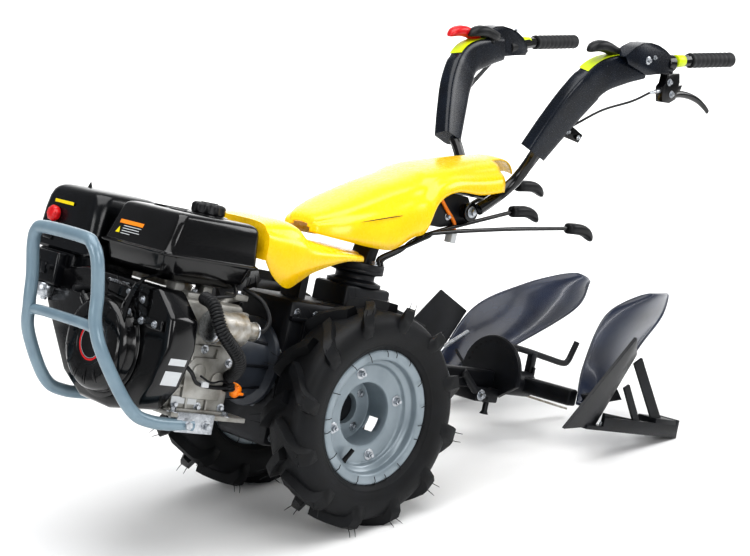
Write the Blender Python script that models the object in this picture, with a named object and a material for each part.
"""Two-wheel walking tractor with a petrol engine and a turnover plough, in metres, +Z up.

Every shape is drawn in the tractor's own frame: origin at the middle of the wheel axle, +X towards the
engine, +Y to the machine's left, where the clutch lever is, and +Z up from the gearbox. One empty tips
that frame back by PARK_TILT, because the machine parks on its two tyres and the heel of its plough.
"""

import math

import bmesh
import bpy
from mathutils import Matrix, Vector

# Wheels.
TYRE_RADIUS = 0.248
TYRE_HALF_WIDTH = 0.065
TYRE_WALL = 0.013
TRACK_HALF = 0.192
RIM_FLANGE_RADIUS = 0.147
RIM_SEAT_RADIUS = 0.127
RIM_HALF_WIDTH = 0.042
RIM_SHEET = 0.0035
DISC_BOLT_RADIUS = 0.094
DISC_HOLE_RADIUS = 0.070
HUB_RADIUS = 0.050
HUB_BORE = 0.040
AXLE_RADIUS = 0.019
WHEEL_STEPS = 28

# Gearbox and handlebar column.
GEARBOX_HALF_WIDTH = 0.085
GEARBOX_TOP = 0.215
COLUMN_X = -0.080
TURNTABLE_Z = 0.300
TURNTABLE_RADIUS = 0.062
HINGE_X = -0.340
HINGE_Z = 0.475

# Engine.
CRANK_Z = 0.062
CASE_X = (0.336, 0.500)
CASE_Y = (-0.120, 0.130)
CASE_Z = (-0.040, 0.188)
BLOWER_DEPTH = 0.070
RECOIL_RADIUS = 0.100
RECOIL_DEPTH = 0.044
TANK_X = (0.302, 0.558)
TANK_Y = (-0.102, 0.118)
TANK_RIM_Z = 0.270
TANK_TOP = 0.356
TANK_BOTTOM = 0.212
AIR_CLEANER_Z = (0.2175, 0.360)

# Bumper, covers and handles.
BUMPER_TUBE = 0.0135
COVER_SHEET = 0.004
COVER_SEAT = 0.3368
COVER_NOTCH = -0.400
HANDLE_TUBE = 0.014
GRIP_RADIUS = 0.0185

# Plough. It parks turned a quarter, so its two bodies lie to the left and right.
PLOUGH_X = -0.612
PLOUGH_Z = 0.085
SLIDE_REACH = 0.309
SLIDE_Z = 0.033
SLIDE_FRONT = -0.624
SLIDE_REAR = -0.978
MOULD_SHEET = 0.005

# Stance: the tyres and the heel of the plough's slide touch one plane.
SEAT = 0.0003


def park_tilt():
    """The nose-up angle at which the heel comes down to the plane under both tyres."""
    reach = math.hypot(SLIDE_REAR, SLIDE_Z)
    return math.asin(TYRE_RADIUS / reach) + math.atan2(SLIDE_Z, -SLIDE_REAR)


PARK_TILT = park_tilt()
FRAME_X = 0.269

for old in list(bpy.data.objects):
    bpy.data.objects.remove(old, do_unlink=True)


# Materials.
def finish(name, colour, roughness, metallic=0.0):
    material = bpy.data.materials.new(name)
    material.use_nodes = True
    shader = material.node_tree.nodes["Principled BSDF"]
    shader.inputs["Base Color"].default_value = (*colour, 1.0)
    shader.inputs["Roughness"].default_value = roughness
    shader.inputs["Metallic"].default_value = metallic
    material.diffuse_color = (*colour, 1.0)
    return material


TYRE_RUBBER = finish("tyre_rubber", (0.020, 0.020, 0.021), 0.85)
GRIP_RUBBER = finish("grip_rubber", (0.015, 0.015, 0.016), 0.75)
GREY_PAINT = finish("grey_paint", (0.36, 0.40, 0.43), 0.40)
BLACK_PAINT = finish("black_paint", (0.012, 0.012, 0.014), 0.30)
BLUE_BLACK = finish("blue_black_paint", (0.020, 0.026, 0.040), 0.35)
YELLOW = finish("yellow_plastic", (0.95, 0.62, 0.01), 0.35)
BLACK_PLASTIC = finish("black_plastic", (0.010, 0.010, 0.011), 0.35)
CAST_METAL = finish("cast_aluminium", (0.42, 0.43, 0.44), 0.50, 0.9)
BARE_STEEL = finish("bare_steel", (0.50, 0.50, 0.51), 0.35, 1.0)


# Bodies: one empty on each joint's axis.
def body(name, location, parent=None):
    empty = bpy.data.objects.new(name, None)
    empty.location = location
    empty.parent = parent
    bpy.context.scene.collection.objects.link(empty)
    return empty


TRACTOR = body("tractor_frame", (FRAME_X, 0.0, TYRE_RADIUS))
TRACTOR.rotation_euler = (0.0, -PARK_TILT, 0.0)
COLUMN = body("column_axis", (COLUMN_X, 0.0, TURNTABLE_Z), TRACTOR)
HANDLES = body("handle_hinge", (HINGE_X - COLUMN_X, 0.0, HINGE_Z - TURNTABLE_Z), COLUMN)
WHEELS = {
    side: body(side + "_axle_end", (0.0, sign * TRACK_HALF, 0.0), TRACTOR)
    for side, sign in (("left", 1), ("right", -1))
}
PLOUGH = body("plough_axis", (PLOUGH_X, 0.0, PLOUGH_Z), TRACTOR)


def tractor_offset(empty):
    """The empty's place in the tractor's frame, found by adding the locations up to it."""
    total = Vector((0.0, 0.0, 0.0))
    while empty is not TRACTOR:
        total += empty.location
        empty = empty.parent
    return total


def place(obj, empty, own_frame=False):
    """Parents a piece to its body. Unless own_frame is set, its mesh is drawn in the tractor's frame."""
    obj.parent = empty
    if not own_frame and empty is not TRACTOR:
        obj.matrix_parent_inverse = Matrix.Translation(-tractor_offset(empty))
    return obj


# Shapes.
def mesh_object(name, bm, material, smooth=True):
    bmesh.ops.recalc_face_normals(bm, faces=bm.faces)
    mesh = bpy.data.meshes.new(name)
    bm.to_mesh(mesh)
    bm.free()
    mesh.materials.append(material)
    if smooth:
        mesh.shade_smooth()
        mesh.set_sharp_from_angle(angle=math.radians(35))
    obj = bpy.data.objects.new(name, mesh)
    bpy.context.scene.collection.objects.link(obj)
    return obj


def rings(name, loops, material, closed_ends=True, wrap=False):
    """A skin over a row of loops that each have the same number of points."""
    bm = bmesh.new()
    rows = [[bm.verts.new(p) for p in loop] for loop in loops]
    pairs = list(zip(rows, rows[1:]))
    if wrap:
        pairs.append((rows[-1], rows[0]))
    for one, two in pairs:
        count = len(one)
        for i in range(count):
            j = (i + 1) % count
            bm.faces.new((one[i], one[j], two[j], two[i]))
    if closed_ends and not wrap:
        bm.faces.new(rows[0])
        bm.faces.new(rows[-1])
    return mesh_object(name, bm, material)


def box(name, x, y, z, material, bevel=0.0, segments=2):
    bm = bmesh.new()
    bmesh.ops.create_cube(bm, size=1.0)
    for v in bm.verts:
        v.co = Vector([low + (c + 0.5) * (high - low) for c, (low, high) in zip(v.co, (x, y, z))])
    if bevel:
        bmesh.ops.bevel(
            bm, geom=bm.edges[:], offset=bevel, segments=segments, affect="EDGES", profile=0.5,
        )
    return mesh_object(name, bm, material)


def turned(name, profile, centre, axis, material, steps=32):
    """A closed outline of (distance, radius) points, turned about axis X, Y or Z through centre."""
    along = {"X": Vector((1, 0, 0)), "Y": Vector((0, 1, 0)), "Z": Vector((0, 0, 1))}[axis]
    side = {"X": Vector((0, 1, 0)), "Y": Vector((0, 0, 1)), "Z": Vector((1, 0, 0))}[axis]
    other = along.cross(side)
    loops = []
    for i in range(steps):
        a = math.tau * i / steps
        out = side * math.cos(a) + other * math.sin(a)
        loops.append([Vector(centre) + along * t + out * r for t, r in profile])
    return rings(name, loops, material, wrap=True)


def rod(name, start, end, radius, material, sides=16):
    """A straight solid bar from start to end."""
    start = Vector(start)
    end = Vector(end)
    along = (end - start).normalized()
    turn = along.to_track_quat("Z", "Y")
    spokes = [
        turn @ Vector((math.cos(math.tau * i / sides), math.sin(math.tau * i / sides), 0))
        for i in range(sides)
    ]
    return rings(
        name, [[start + s * radius for s in spokes], [end + s * radius for s in spokes]], material,
    )


def swept(name, points, section, material, up=(0, 1, 0), scale=None):
    """A section, as (across, up) points, carried along a path. scale gives a factor pair for each point."""
    path = [Vector(p) for p in points]
    loops = []
    for i, p in enumerate(path):
        before = path[max(i - 1, 0)]
        after = path[min(i + 1, len(path) - 1)]
        along = (after - before).normalized()
        side = along.cross(Vector(up)).normalized()
        top = side.cross(along).normalized()
        stretch = 1.0
        if 0 < i < len(path) - 1:
            bend = (p - before).angle(after - p)
            stretch = 1.0 / math.cos(min(bend, 1.2) / 2)
        wide, tall = scale[i] if scale else (1.0, 1.0)
        loops.append([p + side * (a * wide * stretch) + top * (b * tall) for a, b in section])
    return rings(name, loops, material)


def circle(radius, sides=12):
    return [
        (radius * math.cos(math.tau * i / sides), radius * math.sin(math.tau * i / sides))
        for i in range(sides)
    ]


def rounded(half_a, half_b, corner, steps=3):
    """A rounded rectangle as (a, b) points."""
    points = []
    for quarter, (sa, sb) in enumerate(((1, 1), (-1, 1), (-1, -1), (1, -1))):
        for i in range(steps + 1):
            a = math.pi / 2 * (quarter + i / steps)
            points.append(
                (
                    sa * (half_a - corner) + corner * math.cos(a),
                    sb * (half_b - corner) + corner * math.sin(a),
                ),
            )
    return points


def smooth_path(points, steps=4):
    """Catmull-Rom points through the given ones."""
    path = [Vector(p) for p in points]
    ends = [2 * path[0] - path[1], *path, 2 * path[-1] - path[-2]]
    out = []
    for a, b, c, d in zip(ends, ends[1:], ends[2:], ends[3:]):
        for i in range(steps):
            t = i / steps
            straight = 2 * b + (c - a) * t
            bend = (2 * a - 5 * b + 4 * c - d) * t * t
            out.append(0.5 * (straight + bend + (3 * b - a - 3 * c + d) * t ** 3))
    return [*out, path[-1]]


def slab(name, outline, low, high, axis, material, bevel=0.0):
    """A flat outline, drawn on the two other axes in order, raised along an axis from low to high."""
    order = {"X": (2, 0, 1), "Y": (0, 2, 1), "Z": (0, 1, 2)}[axis]
    loops = []
    for level in (low, high):
        row = []
        for a, b in outline:
            values = (a, b, level)
            row.append(Vector([values[k] for k in order]))
        loops.append(row)
    obj = rings(name, loops, material)
    if bevel:
        add = obj.modifiers.new("edge", "BEVEL")
        add.width = bevel
        add.segments = 2
        add.limit_method = "ANGLE"
    return obj


def hide(obj):
    obj.hide_render = True
    obj.display_type = "WIRE"
    return obj


def combine(base, others, operation="UNION"):
    """Adds or cuts the other shapes, which stay in the file as hidden guides."""
    for other in others:
        modifier = base.modifiers.new(operation.lower(), "BOOLEAN")
        modifier.operation = operation
        modifier.solver = "EXACT"
        modifier.object = hide(other)
        other.parent = base
    return base


def cable(name, points, radius, material, steps=4):
    """A cable as a bevelled curve with filled ends."""
    curve = bpy.data.curves.new(name, "CURVE")
    curve.dimensions = "3D"
    curve.bevel_depth = radius
    curve.bevel_resolution = 2
    curve.use_fill_caps = True
    path = smooth_path(points, steps)
    spline = curve.splines.new("POLY")
    spline.points.add(len(path) - 1)
    for point, p in zip(spline.points, path):
        point.co = (*p, 1.0)
    curve.materials.append(material)
    obj = bpy.data.objects.new(name, curve)
    bpy.context.scene.collection.objects.link(obj)
    return obj


# Wheels. Each is drawn about its own axle end, with +Y pointing away from the gearbox.
def tyre(side, sign):
    half = TYRE_HALF_WIDTH
    seat = RIM_SEAT_RADIUS + SEAT
    bead = RIM_HALF_WIDTH - RIM_SHEET - SEAT
    outer = [
        (bead, seat), (bead, RIM_FLANGE_RADIUS + 0.002), (half, 0.185),
        (half - 0.002, TYRE_RADIUS - 0.014),
    ]
    crown = [(half - 0.014, TYRE_RADIUS), (0.0, TYRE_RADIUS)]
    inner = [(0.0, TYRE_RADIUS - 0.030), (half - 0.020, TYRE_RADIUS - 0.034), (half - TYRE_WALL, 0.185)]
    root = [(bead - 0.012, seat + 0.022), (bead - 0.014, seat)]
    right_half = outer + crown[:1] + [(-t, r) for t, r in reversed(outer + crown[:1])]
    left_half = [(-t, r) for t, r in reversed(inner[1:] + root)] + inner[:1] + inner[1:] + root
    profile = right_half + left_half
    rubber = turned(side + "_tyre", profile, (0, 0, 0), "Y", TYRE_RUBBER, WHEEL_STEPS)
    rubber.rotation_euler = (0.0, PARK_TILT, 0.0)
    return rubber


def rim(side, sign):
    half = RIM_HALF_WIDTH
    sheet = RIM_SHEET
    seat = RIM_SEAT_RADIUS
    well = seat - 0.015
    outside = [
        (half - sheet, RIM_FLANGE_RADIUS), (half - sheet, seat), (half - 0.016, seat),
        (half - 0.024, well),
    ]
    inside = [
        (half - 0.024 + sheet, well - sheet), (half - 0.016 + sheet, seat - sheet),
        (half, seat - sheet), (half, RIM_FLANGE_RADIUS),
    ]
    profile = outside + [(-t, r) for t, r in reversed(outside)]
    profile += [(-t, r) for t, r in reversed(inside)] + inside
    barrel = turned(side + "_rim", profile, (0, 0, 0), "Y", GREY_PAINT, WHEEL_STEPS)
    barrel.rotation_euler = (0.0, PARK_TILT, 0.0)
    low = 0.002
    high = 0.007
    disc = [
        (sign * low, DISC_HOLE_RADIUS), (sign * high, DISC_HOLE_RADIUS), (sign * high, well - 0.001),
        (sign * low, well - 0.001),
    ]
    return combine(barrel, [turned(side + "_rim_disc", disc, (0, 0, 0), "Y", GREY_PAINT, 24)])


def hub(side, sign):
    """A drum on the axle, with a flange behind the rim's disc and four windows between its arms."""
    face = 0.002 - SEAT
    inner_end = -(TRACK_HALF - GEARBOX_HALF_WIDTH - 0.040)
    profile = [
        (inner_end, AXLE_RADIUS - 0.002),
        (-0.030, AXLE_RADIUS - 0.002),
        (-0.030, HUB_BORE),
        (0.006, HUB_BORE),
        (0.006, HUB_RADIUS),
        (face, HUB_RADIUS),
        (face, DISC_BOLT_RADIUS + 0.012),
        (face - 0.008, DISC_BOLT_RADIUS + 0.012),
        (face - 0.008, HUB_RADIUS),
        (-0.040, HUB_RADIUS),
        (inner_end, 0.034),
    ]
    drum = turned(side + "_hub", [(sign * t, r) for t, r in profile], (0, 0, 0), "Y", GREY_PAINT, 24)
    shaft_inner = sign * (GEARBOX_HALF_WIDTH + 0.035 + SEAT - TRACK_HALF)
    shaft = rod(
        side + "_axle", (0, shaft_inner, 0), (0, sign * -0.018, 0), AXLE_RADIUS + 0.001, BARE_STEEL,
        20,
    )
    combine(drum, [shaft])
    cutters = []
    for i in range(4):
        spoke = math.radians(45 + 90 * i)
        points = []
        for radius, spread in ((HUB_RADIUS + 0.003, 24), (DISC_HOLE_RADIUS - 0.003, 26)):
            angles = (-spread, -spread / 3, spread / 3, spread)
            row = [
                (radius * math.cos(spoke + math.radians(a)), radius * math.sin(spoke + math.radians(a)))
                for a in angles
            ]
            points += row if radius < DISC_HOLE_RADIUS - 0.01 else row[::-1]
        cutters.append(
            slab(f"{side}_hub_window_{i}", points, sign * 0.020, sign * -0.020, "Y", GREY_PAINT),
        )
    return combine(drum, cutters, "DIFFERENCE")


def solid_turned(name, profile, centre, axis, material, steps=24):
    """A turned solid whose profile starts and ends on the axis."""
    obj = turned(name, profile, centre, axis, material, steps)
    bm = bmesh.new()
    bm.from_mesh(obj.data)
    bmesh.ops.remove_doubles(bm, verts=bm.verts, dist=1e-6)
    bmesh.ops.recalc_face_normals(bm, faces=bm.faces)
    bm.to_mesh(obj.data)
    bm.free()
    return obj


for wheel_side, wheel_sign in (("left", 1), ("right", -1)):
    for maker in (tyre, rim, hub):
        place(maker(wheel_side, wheel_sign), WHEELS[wheel_side], own_frame=True)


# Gearbox, clutch housing and the column that carries the handlebars.
def gearbox():
    x = (-0.135, 0.170)
    main = box(
        "gearbox", x, (-GEARBOX_HALF_WIDTH, GEARBOX_HALF_WIDTH), (-0.110, GEARBOX_TOP), CAST_METAL,
        0.018,
    )
    trumpet = rod(
        "gearbox_trumpets", (0, -GEARBOX_HALF_WIDTH - 0.035, 0), (0, GEARBOX_HALF_WIDTH + 0.035, 0),
        0.048, CAST_METAL, 24,
    )
    tower = box(
        "gearbox_tower", (COLUMN_X - 0.070, COLUMN_X + 0.070), (-0.055, 0.055), (0.150, 0.262),
        CAST_METAL, 0.008,
    )
    nose = rod("gearbox_nose", (0.120, 0, CRANK_Z), (0.1797, 0, CRANK_Z), 0.082, CAST_METAL, 28)
    bracket = box("cover_bracket", (0.085, 0.105), (-0.030, 0.030), (0.200, COVER_SEAT), CAST_METAL)
    return combine(main, [trumpet, tower, nose, bracket])


def bell_housing():
    profile = [
        (0.180, 0.0), (0.180, 0.098), (0.192, 0.098), (0.198, 0.080), (0.290, 0.094),
        (0.322, 0.094), (0.322, 0.100), (0.3357, 0.100), (0.3357, 0.0),
    ]
    return solid_turned("bell_housing", profile, (0, 0, CRANK_Z), "X", BLACK_PAINT, 32)


def column_base():
    low = 0.2623
    profile = [(low, 0.0), (low, TURNTABLE_RADIUS), (low + 0.008, TURNTABLE_RADIUS), (low + 0.014, 0.045),
               (TURNTABLE_Z - 0.012, 0.045), (TURNTABLE_Z - 0.008, TURNTABLE_RADIUS),
               (TURNTABLE_Z - SEAT, TURNTABLE_RADIUS), (TURNTABLE_Z - SEAT, 0.0)]
    return solid_turned("column_base", profile, (COLUMN_X, 0, 0), "Z", BLACK_PAINT, 32)


def column_post():
    """The turning half of the column: a disc, and a leaning post that carries the handles' hinge."""
    disc = rod(
        "column_post", (COLUMN_X, 0, TURNTABLE_Z), (COLUMN_X, 0, TURNTABLE_Z + 0.014),
        TURNTABLE_RADIUS, BLACK_PAINT, 32,
    )
    leg = [
        (COLUMN_X - 0.010, 0, TURNTABLE_Z + 0.008), (COLUMN_X - 0.030, 0, 0.380),
        (COLUMN_X - 0.110, 0, 0.450), (HINGE_X + 0.004, 0, HINGE_Z),
    ]
    post = swept("column_post_arm", smooth_path(leg, 3), rounded(0.016, 0.028, 0.006, 2), BLACK_PAINT)
    cross = rod(
        "column_post_cross", (HINGE_X, -0.062, HINGE_Z), (HINGE_X, 0.062, HINGE_Z), 0.017,
        BLACK_PAINT, 20,
    )
    saddle = box("column_saddle", (-0.205, -0.185), (-0.012, 0.012), (0.450, 0.5435), BLACK_PAINT)
    return combine(disc, [post, cross, saddle])


place(gearbox(), TRACTOR)
place(bell_housing(), TRACTOR)
place(column_base(), TRACTOR)
place(column_post(), COLUMN)


# Engine.
def crankcase():
    case = box("crankcase", CASE_X, CASE_Y, CASE_Z, CAST_METAL, 0.012)
    top = TANK_BOTTOM - SEAT
    posts = [
        box(f"tank_post_{i}", (x - 0.012, x + 0.012), (0.040, 0.070), (CASE_Z[1] - 0.02, top), CAST_METAL)
        for i, x in enumerate((0.395, 0.470))
    ]
    sump = box(
        "crankcase_sump", (CASE_X[0] + 0.014, CASE_X[1] - 0.014),
        (CASE_Y[0] + 0.016, CASE_Y[1] - 0.016), (CASE_Z[0] - 0.02, CASE_Z[1] - 0.030), CAST_METAL,
    )
    return combine(combine(case, posts), [sump], "DIFFERENCE")


def engine_base():
    low = CASE_Z[0] - SEAT - 0.010
    return box(
        "engine_base", (0.300, CASE_X[1] - SEAT), (-0.158, 0.158), (low, low + 0.010), BLACK_PAINT,
        0.001, 1,
    )


def cylinder():
    """The inclined cylinder and head, on the far side of the crankcase from the starter motor."""
    outline = [
        (CASE_Y[0] - SEAT, 0.020), (CASE_Y[0] - SEAT, 0.150), (-0.258, 0.196), (-0.288, 0.110),
        (-0.262, 0.030),
    ]
    head = slab("cylinder", outline, 0.352, 0.488, "X", CAST_METAL, 0.006)
    intake = box(
        "cylinder_intake", (0.425, 0.475), (-0.245, -0.195), (0.150, AIR_CLEANER_Z[0] - SEAT),
        CAST_METAL, 0.002, 1,
    )
    return combine(head, [intake])


def blower_housing():
    front = CASE_X[1] + SEAT + BLOWER_DEPTH
    outline = [
        (0.190, 0.150), (0.196, 0.090), (0.172, 0.012), (0.126, -0.044), (0.040, -0.062),
        (-0.060, -0.058),
        (-0.130, -0.020), (-0.196, 0.060), (-0.236, 0.110), (-0.236, 0.180), (-0.120, 0.205),
        (0.130, 0.200),
    ]
    shell = slab("blower_housing", outline, CASE_X[1] + SEAT, front, "X", BLACK_PLASTIC, 0.008)
    inside = [(y * 0.965, CRANK_Z + (z - CRANK_Z) * 0.955) for y, z in outline]
    hollow = slab("blower_hollow", inside, CASE_X[1] + SEAT + 0.004, front - 0.004, "X", BLACK_PLASTIC)
    intake = rod(
        "blower_intake", (front - 0.02, 0, CRANK_Z), (front + 0.02, 0, CRANK_Z), 0.070, BLACK_PLASTIC,
        28,
    )
    return combine(shell, [hollow, intake], "DIFFERENCE")


def recoil_starter():
    back = CASE_X[1] + 2 * SEAT + BLOWER_DEPTH
    front = back + RECOIL_DEPTH
    profile = [
        (back, 0.094), (back, RECOIL_RADIUS), (front - 0.018, RECOIL_RADIUS - 0.003), (front, 0.078),
        (front, 0.0), (front - 0.004, 0.0), (front - 0.004, 0.074),
        (front - 0.018, RECOIL_RADIUS - 0.008),
    ]
    return solid_turned("recoil_starter", profile, (0, 0, CRANK_Z), "X", BLACK_PAINT, 28)


def lofted(name, levels, material, corner=0.02, steps=3):
    """A closed skin over rounded rectangles, each given as (z, x low, x high, y low, y high)."""
    loops = []
    for z, x0, x1, y0, y1 in levels:
        section = rounded((x1 - x0) / 2, (y1 - y0) / 2, corner, steps)
        loops.append([Vector(((x0 + x1) / 2 + a, (y0 + y1) / 2 + b, z)) for a, b in section])
    return rings(name, loops, material)


def fuel_tank():
    x0, x1 = TANK_X
    y0, y1 = TANK_Y
    rim_low = TANK_RIM_Z - 0.006
    levels = [
        (TANK_BOTTOM, x0 + 0.050, x1 - 0.040, y0 + 0.030, y1 - 0.030),
        (TANK_BOTTOM + 0.010, x0 + 0.020, x1 - 0.016, y0 + 0.012, y1 - 0.012),
        (rim_low, x0 + 0.010, x1 - 0.010, y0 + 0.008, y1 - 0.008),
        (rim_low, x0, x1, y0, y1),
        (TANK_RIM_Z + 0.006, x0, x1, y0, y1),
        (TANK_RIM_Z + 0.006, x0 + 0.012, x1 - 0.014, y0 + 0.008, y1 - 0.008),
        (TANK_TOP - 0.014, x0 + 0.018, x1 - 0.028, y0 + 0.012, y1 - 0.012),
        (TANK_TOP, x0 + 0.034, x1 - 0.046, y0 + 0.026, y1 - 0.026),
    ]
    return lofted("fuel_tank", levels, BLACK_PAINT, 0.022)


def fuel_cap():
    low = TANK_TOP + SEAT
    profile = [
        (low, 0.0), (low, 0.030), (low + 0.006, 0.036), (low + 0.018, 0.036), (low + 0.024, 0.028),
        (low + 0.026, 0.0),
    ]
    return solid_turned("fuel_cap", profile, (0.412, 0.030, 0), "Z", BLACK_PLASTIC, 24)


def air_cleaner():
    x = (0.362, 0.562)
    y = (-0.336, -0.128)
    case = box("air_cleaner", x, y, AIR_CLEANER_Z, BLACK_PLASTIC, 0.016, 3)
    inside = box(
        "air_cleaner_inside", (x[0] + 0.008, x[1] - 0.008), (y[0] + 0.008, -0.262),
        (AIR_CLEANER_Z[0] - 0.01, AIR_CLEANER_Z[1] - 0.010), BLACK_PLASTIC,
    )
    return combine(case, [inside], "DIFFERENCE")


def muffler():
    x = (0.270, 0.3515)
    y = (-0.300, -0.122)
    top = 0.2050
    shell = box("muffler", x, y, (0.095, top), BARE_STEEL, 0.014, 2)
    inside = box(
        "muffler_inside", (x[0] + 0.012, x[1] - 0.012), (y[0] + 0.012, y[1] - 0.012),
        (0.105, top + 0.01), BARE_STEEL,
    )
    return combine(shell, [inside], "DIFFERENCE")


def starter_motor():
    y = CASE_Y[1] + SEAT + 0.035
    profile = [
        (0.330, 0.0), (0.330, 0.014), (0.334, 0.019), (0.372, 0.019), (0.372, 0.035), (0.448, 0.035),
        (0.452, 0.030), (0.452, 0.0),
    ]
    return solid_turned("starter_motor", profile, (0, y, 0.142), "X", BARE_STEEL, 24)


def bumper():
    half = [
        (0.330, 0.150, -0.0645), (0.540, 0.150, -0.0645), (0.600, 0.146, -0.040), (0.672, 0.130, 0.050),
        (0.696, 0.114, 0.110), (0.704, 0.112, 0.170), (0.718, 0.110, 0.232),
    ]
    corner = [(0.726, 0.096, 0.262), (0.728, 0.066, 0.272)]
    left = [Vector(p) for p in half + corner]
    right = [Vector((p.x, -p.y, p.z)) for p in reversed(left)]
    loop = swept(
        "bumper", smooth_path(left + right, 2), circle(BUMPER_TUBE, 10), GREY_PAINT, up=(1, 0, 0.001),
    )
    bar = rod("bumper_bar", (0.692, -0.122, 0.105), (0.692, 0.122, 0.105), 0.011, GREY_PAINT, 10)
    return combine(loop, [bar])


for maker in (
    crankcase, engine_base, cylinder, blower_housing, recoil_starter, fuel_tank, fuel_cap, air_cleaner,
    muffler, starter_motor, bumper,
):
    place(maker(), TRACTOR)


# Covers: pressed shells, open below, drawn as arches at a row of stations.
def arch(x, half, low, high, power, inset=0.0, count=12):
    points = []
    for i in range(count + 1):
        a = math.pi * i / count
        c = math.cos(a)
        s = math.sin(a)
        y = (half - inset) * math.copysign(abs(c) ** power, c)
        z = low + (high - inset - low) * s ** power
        points.append(Vector((x, y, z)))
    return points


def arched_shell(name, stations, material):
    """stations: (x, half width, edge z, crown z, power)."""
    loops = []
    for x, half, low, high, power in stations:
        outer = arch(x, half, low, high, power)
        inner = arch(x, half, low, high, power, COVER_SHEET)
        loops.append(outer + inner[::-1])
    return rings(name, loops, material)


LOWER_COVER = [
    (0.298, 0.118, 0.288, 0.366, 0.45), (0.270, 0.122, 0.256, 0.372, 0.45),
    (0.232, 0.126, 0.238, 0.376, 0.45),
    (0.200, 0.126, 0.256, 0.374, 0.48), (0.170, 0.124, 0.276, 0.352, 0.50),
    (0.120, 0.118, 0.296, 0.343, 0.50),
    (0.060, 0.110, 0.314, 0.341, 0.55), (0.000, 0.100, 0.320, 0.341, 0.60),
]
UPPER_COVER = [
    (0.146, 0.030, 0.362, 0.374, 0.60), (0.120, 0.062, 0.360, 0.392, 0.60),
    (0.060, 0.096, 0.357, 0.428, 0.62),
    (0.000, 0.112, 0.354, 0.462, 0.66), (-0.060, 0.120, 0.358, 0.494, 0.70),
    (-0.110, 0.124, 0.392, 0.516, 0.72),
    (-0.150, 0.124, 0.412, 0.534, 0.74), (-0.176, 0.122, 0.480, 0.545, 0.76),
    (-0.230, 0.118, 0.512, 0.566, 0.80),
    (-0.320, 0.110, 0.518, 0.592, 0.84), (-0.400, 0.104, 0.536, 0.610, 0.88),
    (-0.450, 0.094, 0.560, 0.619, 0.90),
    (-0.500, 0.060, 0.594, 0.620, 0.90),
]
place(arched_shell("lower_cover", LOWER_COVER, YELLOW), TRACTOR)
upper_cover = arched_shell("upper_cover", UPPER_COVER, YELLOW)
notches = [
    box(f"cover_notch_{i}", (-0.60, COVER_NOTCH), sorted((k * 0.050, k * 0.200)), (0.40, 0.70), YELLOW)
    for i, k in enumerate((1, -1))
]
place(combine(upper_cover, notches, "DIFFERENCE"), COLUMN)


# Handles: a yoke on the hinge, then one bent tube, sleeve and grip on each side.
def mirrored(points, sign):
    return [(x, sign * y, z) for x, y, z in points]


TUBE_PATH = [
    (-0.352, 0.0775, 0.484), (-0.402, 0.0775, 0.520), (-0.446, 0.086, 0.566),
    (-0.450, 0.116, 0.618), (-0.446, 0.146, 0.668), (-0.472, 0.190, 0.780),
    (-0.512, 0.212, 0.845), (-0.590, 0.222, 0.880), (-0.700, 0.238, 0.912), (-0.785, 0.250, 0.938),
]
SLEEVE_PATH = [
    (-0.428, 0.138, 0.640), (-0.448, 0.164, 0.708), (-0.474, 0.192, 0.782), (-0.512, 0.211, 0.842),
    (-0.575, 0.220, 0.874), (-0.636, 0.229, 0.894),
]
GRIP_START = Vector((-0.789, 0.2501, 0.9389))
GRIP_END = Vector((-0.947, 0.253, 0.9727))


def tube_line(sign):
    """The tube's bends, then a straight run to 5 mm short of the grip's end."""
    bends = smooth_path(mirrored(TUBE_PATH, sign), 2)
    start, end = (Vector(p) for p in mirrored([GRIP_START, GRIP_END], sign))
    return [*bends[:-1], start - (end - start) * 0.03, start.lerp(end, 0.96)]


def handle_tube(side, sign, extra=0.0):
    return swept(side + "_handle_tube", tube_line(sign), circle(HANDLE_TUBE + extra, 10), BLACK_PAINT)


def on_line(path, x):
    """The place at x on a path that runs backwards, the direction there and how far along it lies."""
    for i, (a, b) in enumerate(zip(path, path[1:])):
        if (a.x - x) * (b.x - x) <= 0 and a.x != b.x:
            t = (x - a.x) / (b.x - a.x)
            return a.lerp(b, t), (b - a).normalized(), (i + t) / (len(path) - 1)
    raise ValueError(x)


SLEEVE_HALF = 0.032


def sleeve_scale(share_of_length):
    return 1.0 + 0.35 * math.sin(math.pi * share_of_length)


def sleeve(side, sign):
    """A moulded tunnel over the tube's bend, hollow, with an end wall that fits round the tube."""
    path = smooth_path(mirrored(SLEEVE_PATH, sign), 2)
    count = len(path)
    scale = [(sleeve_scale(i / (count - 1)), 1.0) for i in range(count)]
    shell = swept(
        side + "_sleeve", path, rounded(SLEEVE_HALF, 0.023, 0.014, 2), BLACK_PLASTIC, scale=scale,
    )
    ends = [path[0].lerp(path[1], 0.2), *path[1:-1], path[-1].lerp(path[-2], 0.2)]
    hollow = swept(
        side + "_sleeve_hollow", ends, rounded(SLEEVE_HALF - 0.003, 0.020, 0.012, 2), BLACK_PLASTIC,
        scale=scale,
    )
    passage = handle_tube(side + "_passage", sign, SEAT)
    return combine(shell, [hollow, passage], "DIFFERENCE")


def grip(side, sign):
    """A rubber sleeve over the last of the tube, closed at its end."""
    start, end = (Vector(p) for p in mirrored([GRIP_START, GRIP_END], sign))
    along = (end - start).normalized()
    rubber = rod(side + "_grip", start, end, GRIP_RADIUS, GRIP_RUBBER, 14)
    bore = rod(
        side + "_grip_bore", start - along * 0.01, start.lerp(end, 0.97), HANDLE_TUBE + 2 * SEAT,
        GRIP_RUBBER, 16,
    )
    return combine(rubber, [bore], "DIFFERENCE")


def yoke():
    """The cross bar that joins the two handle tubes behind the hinge."""
    return rod("handle_yoke", (-0.402, -0.070, 0.520), (-0.402, 0.070, 0.520), 0.010, BLACK_PAINT, 10)


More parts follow.
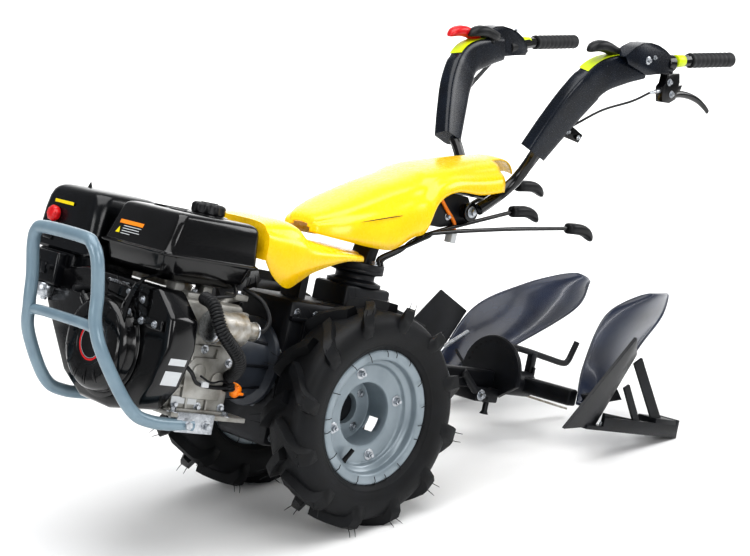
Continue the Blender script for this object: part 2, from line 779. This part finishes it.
def hinge_lug(side, sign):
    inner = sign * 0.0623
    outer = sign * 0.0703
    low, high = sorted((inner, outer))
    outline = [
        (HINGE_X + 0.022 * math.cos(a), HINGE_Z + 0.022 * math.sin(a))
        for a in [math.tau * i / 16 for i in range(16)]
    ]
    return slab(side + "_hinge_lug", outline, low, high, "Y", BLACK_PAINT)


def blade(name, points, half_a, half_b, material, steps=3):
    return swept(
        name, smooth_path(points, steps), rounded(half_a, half_b, min(half_a, half_b) * 0.6, 2),
        material,
    )


CLUTCH_LEVER = [
    (-0.731, 0.255, 0.912), (-0.718, 0.260, 0.882), (-0.734, 0.262, 0.852), (-0.820, 0.260, 0.850),
    (-0.905, 0.256, 0.842),
]
CLUTCH_CABLE = [
    (-0.726, 0.2487, 0.862), (-0.714, 0.247, 0.838), (-0.650, 0.240, 0.800), (-0.560, 0.214, 0.760),
    (-0.522, 0.182, 0.712),
    (-0.506, 0.150, 0.660), (-0.490, 0.100, 0.606), (-0.466, 0.058, 0.560), (-0.442, 0.045, 0.518),
    (-0.404, 0.040, 0.5064),
]


def tube_clamp(name, x, sign, half_length, wall, material, joined=()):
    """A ring round the handle tube at x, with what is joined to it, bored with a gap under a millimetre."""
    centre, along, _ = on_line(tube_line(sign), x)
    outer = HANDLE_TUBE + wall
    ring = rod(name, centre - along * half_length, centre + along * half_length, outer, material, 14)
    if joined:
        combine(ring, joined)
    return combine(ring, [handle_tube(name + "_bore", sign, SEAT)], "DIFFERENCE")


ARCH_BRACKET = [
    (-0.576, 0.221, 0.9235),
    (-0.596, 0.224, 0.942),
    (-0.640, 0.232, 0.956),
    (-0.700, 0.240, 0.951),
    (-0.731, 0.242, 0.936),
]


def clutch_lever():
    """A clamp on the left tube with a bent blade under the grip, and the arched bracket in front of it."""
    bent = blade("lever_blade", CLUTCH_LEVER, 0.007, 0.010, BLACK_PAINT, 2)
    bracket = blade("arch_bracket", ARCH_BRACKET, 0.0025, 0.010, BLACK_PAINT, 2)
    return tube_clamp("left_clutch_lever", -0.733, 1, 0.011, 0.007, BLACK_PAINT, [bent, bracket])


def throttle_clamp():
    """The housing clamped on the right tube, with its thumb lever."""
    ring = tube_clamp("right_throttle", -0.690, -1, 0.022, 0.008, BLACK_PLASTIC)
    arm = [(-0.690, -0.2366, 0.928), (-0.684, -0.232, 0.946), (-0.664, -0.218, 0.956)]
    return combine(ring, [blade("throttle_arm", arm, 0.006, 0.003, BARE_STEEL, 2)])


def knob(name, start, end, radius, material):
    """A moulded teardrop knob: stations of (share of the length, share of the radius)."""
    a, b = Vector(start), Vector(end)
    shape = ((0.0, 0.42), (0.12, 0.55), (0.35, 0.82), (0.65, 1.0), (0.88, 0.88), (1.0, 0.50))
    path = [a.lerp(b, t) for t, _ in shape]
    scale = [(k, k * 0.8) for _, k in shape]
    return swept(name, path, circle(radius, 14), material, scale=scale)


def grip_knob(name, x, sign, across, material, lift=0.0006):
    """A thumb lever's knob on top of a sleeve, with its short stem, set off sideways by across."""
    path = smooth_path(mirrored(SLEEVE_PATH, sign), 2)
    centre, along, share_of_length = on_line(path, x)
    up = Vector((0, 1, 0)).cross(along)
    up = up if up.z > 0 else -up
    foot = centre + up * (SLEEVE_HALF * sleeve_scale(share_of_length) + lift) + Vector((0, across, 0))
    top = swept(
        name, [foot + up * 0.018 - along * 0.030, foot + up * 0.018 + along * 0.030],
        rounded(0.009, 0.012, 0.005, 2), material,
    )
    stem = rod(name + "_stem", foot, foot + up * 0.018, 0.006, material, 10)
    return combine(top, [stem])


handlebar = combine(yoke(), [
    shape for side, sign in (("left", 1), ("right", -1)) for shape in (
        handle_tube(side, sign), hinge_lug(side, sign),
    )
])
handlebar.name = "handlebar_tubes"
place(handlebar, HANDLES)
for handle_side, handle_sign in (("left", 1), ("right", -1)):
    place(sleeve(handle_side, handle_sign), HANDLES)
    place(grip(handle_side, handle_sign), HANDLES)
RED_PLASTIC = finish("red_plastic", (0.62, 0.02, 0.03), 0.35)
for piece in (
    clutch_lever(),
    throttle_clamp(),
    grip_knob("left_thumb_lever", -0.515, 1, 0.0, BLACK_PLASTIC),
    grip_knob("right_thumb_lever", -0.560, -1, 0.006, BLACK_PLASTIC),
    grip_knob("stop_switch", -0.474, -1, 0.0, RED_PLASTIC, 0.0032),
    cable("clutch_cable", CLUTCH_CABLE, 0.003, BLACK_PLASTIC, 3),
):
    place(piece, HANDLES)


# Gear, power take-off and lock levers: rods that rise from the column's disc.
CONTROL_RODS = {
    "drive_lever": (
        [
            (-0.098, 0.048, 0.3146), (-0.098, 0.048, 0.332), (-0.135, 0.066, 0.360),
            (-0.200, 0.082, 0.400), (-0.232, 0.083, 0.412), (-0.450, 0.083, 0.448),
            (-0.716, 0.083, 0.482),
        ],
        (-0.800, 0.083, 0.490),
    ),
    "gear_lever": (
        [
            (-0.120, 0.037, 0.3146), (-0.120, 0.037, 0.330), (-0.160, 0.044, 0.356),
            (-0.230, 0.050, 0.404), (-0.502, 0.054, 0.482),
        ],
        (-0.570, 0.054, 0.496),
    ),
    "lock_lever": (
        [
            (-0.118, -0.038, 0.3146), (-0.118, -0.038, 0.330), (-0.160, -0.044, 0.362),
            (-0.230, -0.046, 0.404), (-0.400, -0.044, 0.452), (-0.470, -0.040, 0.506),
            (-0.566, -0.034, 0.552),
        ],
        (-0.634, -0.030, 0.574),
    ),
}
for lever_name, (lever_path, knob_end) in CONTROL_RODS.items():
    lever = swept(
        lever_name, [Vector(lever_path[0]), *smooth_path(lever_path[1:], 2)], circle(0.005, 8),
        BARE_STEEL,
    )
    knob_start = Vector(lever_path[-1]).lerp(Vector(knob_end), -0.03)
    place(
        combine(lever, [knob(lever_name + "_knob", knob_start, knob_end, 0.021, BLACK_PLASTIC)]),
        COLUMN,
    )


# Hitch: the power take-off cover, the drawbar behind it and the index plate for the plough.
def pto_cover():
    x = -0.1353
    profile = [
        (x, 0.0), (x, 0.070), (x - 0.012, 0.070), (x - 0.016, 0.052), (x - 0.070, 0.046),
        (x - 0.070, 0.0),
    ]
    return solid_turned("pto_cover", profile, (0, 0, 0.050), "X", CAST_METAL, 28)


def drawbar():
    start = -0.2056
    head = box("drawbar", (start - 0.040, start), (-0.045, 0.045), (-0.010, 0.110), BLUE_BLACK, 0.004, 1)
    bar = box(
        "drawbar_arm", (PLOUGH_X + 0.012, start - 0.020), (-0.020, 0.020), (0.062, 0.108), BLUE_BLACK,
        0.004, 1,
    )
    outline = [
        (0.092 * math.cos(math.pi * i / 16), 0.105 + 0.088 * math.sin(math.pi * i / 16))
        for i in range(17)
    ]
    foot = [(-0.092, 0.085), (-0.036, 0.048), (0.036, 0.048), (0.092, 0.085)]
    face = PLOUGH_X + 0.014
    plate = slab("index_plate", [*outline, *foot], PLOUGH_X + SEAT, face, "X", BLUE_BLACK)
    return combine(head, [bar, plate])


def plough_hub():
    """The turning hub on the hitch's pin, with the cross arm that carries both bodies."""
    hub_rod = rod(
        "plough_hub", (PLOUGH_X, 0, PLOUGH_Z), (PLOUGH_X - 0.130, 0, PLOUGH_Z), 0.032, BLUE_BLACK, 24,
    )
    reach = SLIDE_REACH - 0.1314
    arm = box("plough_arm", (-0.730, -0.700), (-reach, reach), (0.066, 0.106), BLUE_BLACK, 0.004, 1)
    return combine(hub_rod, [arm])


def turnover_handle():
    path = [
        (-0.742, 0, 0.118), (-0.744, 0, 0.148), (-0.765, 0, 0.160), (-0.860, 0, 0.150),
        (-0.884, 0, 0.158), (-0.904, 0, 0.207),
    ]
    grip_rod = swept("turnover_handle", smooth_path(path, 3), circle(0.0075, 10), BLUE_BLACK)
    foot = box("turnover_foot", (-0.750, -0.7423), (-0.014, 0.014), (0.060, 0.130), BLUE_BLACK, 0.001, 1)
    return combine(grip_rod, [foot])


def mouldboard(name, sign):
    """A hollow-faced plate lofted between its far edge, by the share, and its near edge, by the axis.

    Points are (x, height above the slide, distance from the slide towards the axis).
    """
    far = smooth_path(
        [
            (-0.690, 0.030, 0.0335), (-0.790, 0.196, 0.0335), (-0.920, 0.286, 0.078),
            (-1.026, 0.346, 0.148),
        ],
        3,
    )
    near = smooth_path(
        [(-0.712, 0.042, 0.118), (-0.800, 0.130, 0.190), (-0.930, 0.255, 0.258), (-1.012, 0.330, 0.222)],
        3,
    )
    columns = 8
    front = []
    for a, b in zip(far, near):
        for j in range(columns + 1):
            t = j / columns
            p = a.lerp(b, t)
            hollow = 0.022 * 4 * t * (1 - t)
            front.append(Vector((p.x - hollow, sign * (SLIDE_REACH - p.z), SLIDE_Z + p.y)))
    bm = bmesh.new()
    verts = [bm.verts.new(p) for p in front]
    width = columns + 1
    for i in range(len(far) - 1):
        for j in range(columns):
            k = i * width + j
            bm.faces.new((verts[k], verts[k + 1], verts[k + width + 1], verts[k + width]))
    obj = mesh_object(name, bm, BLUE_BLACK)
    thick = obj.modifiers.new("sheet", "SOLIDIFY")
    thick.thickness = MOULD_SHEET
    thick.offset = 0.0
    return obj


def share(name, sign):
    """The cutting blade: a flat four-cornered plate along the mouldboard's far edge."""
    corners = [
        (-0.509, 0.000, -0.023), (-0.714, 0.232, -0.016), (-0.782, 0.190, 0.026),
        (-0.676, 0.006, 0.024),
    ]
    points = [Vector((x, sign * (SLIDE_REACH - h), SLIDE_Z + l)) for x, l, h in corners]
    bm = bmesh.new()
    bm.faces.new([bm.verts.new(p) for p in points])
    bmesh.ops.triangulate(bm, faces=bm.faces[:])
    obj = mesh_object(name, bm, BLUE_BLACK, smooth=False)
    thick = obj.modifiers.new("blade", "SOLIDIFY")
    thick.thickness = 0.008
    thick.offset = 0.0
    return obj


def frog(name, sign):
    """The slide that rests on the floor, its heel and the two straps behind the mouldboard."""
    y_out = sorted((sign * SLIDE_REACH, sign * (SLIDE_REACH - 0.034)))
    slide = box(name, (SLIDE_REAR, SLIDE_FRONT), y_out, (SLIDE_Z, SLIDE_Z + 0.010), BLUE_BLACK)
    y_wall = sorted((sign * SLIDE_REACH, sign * (SLIDE_REACH - 0.009)))
    wall = box(
        name + "_wall", (SLIDE_REAR, SLIDE_FRONT - 0.060), y_wall, (SLIDE_Z, SLIDE_Z + 0.032),
        BLUE_BLACK,
    )
    y_heel = sorted((sign * SLIDE_REACH, sign * (SLIDE_REACH - 0.060)))
    heel = box(
        name + "_heel", (SLIDE_REAR, SLIDE_REAR + 0.010), y_heel, (SLIDE_Z, SLIDE_Z + 0.045),
        BLUE_BLACK,
    )
    return combine(slide, [wall, heel, share(name + "_share", sign)])


for body_side, body_sign in (("left", 1), ("right", -1)):
    for maker, part_name in ((mouldboard, "mouldboard"), (frog, "share_and_slide")):
        place(maker(f"{body_side}_{part_name}", body_sign), PLOUGH)
place(plough_hub(), PLOUGH)
place(turnover_handle(), PLOUGH)
place(pto_cover(), TRACTOR)
place(drawbar(), TRACTOR)

LOOM_PATH = [
    (0.470, 0.150, 0.196), (0.474, 0.190, 0.186), (0.462, 0.216, 0.140), (0.404, 0.216, 0.090),
    (0.372, 0.180, 0.056),
    (0.362, 0.150, 0.040), (0.352, 0.144, 0.015),
]
place(cable("wiring_loom", LOOM_PATH, 0.0135, BLACK_PLASTIC, 3), TRACTOR)
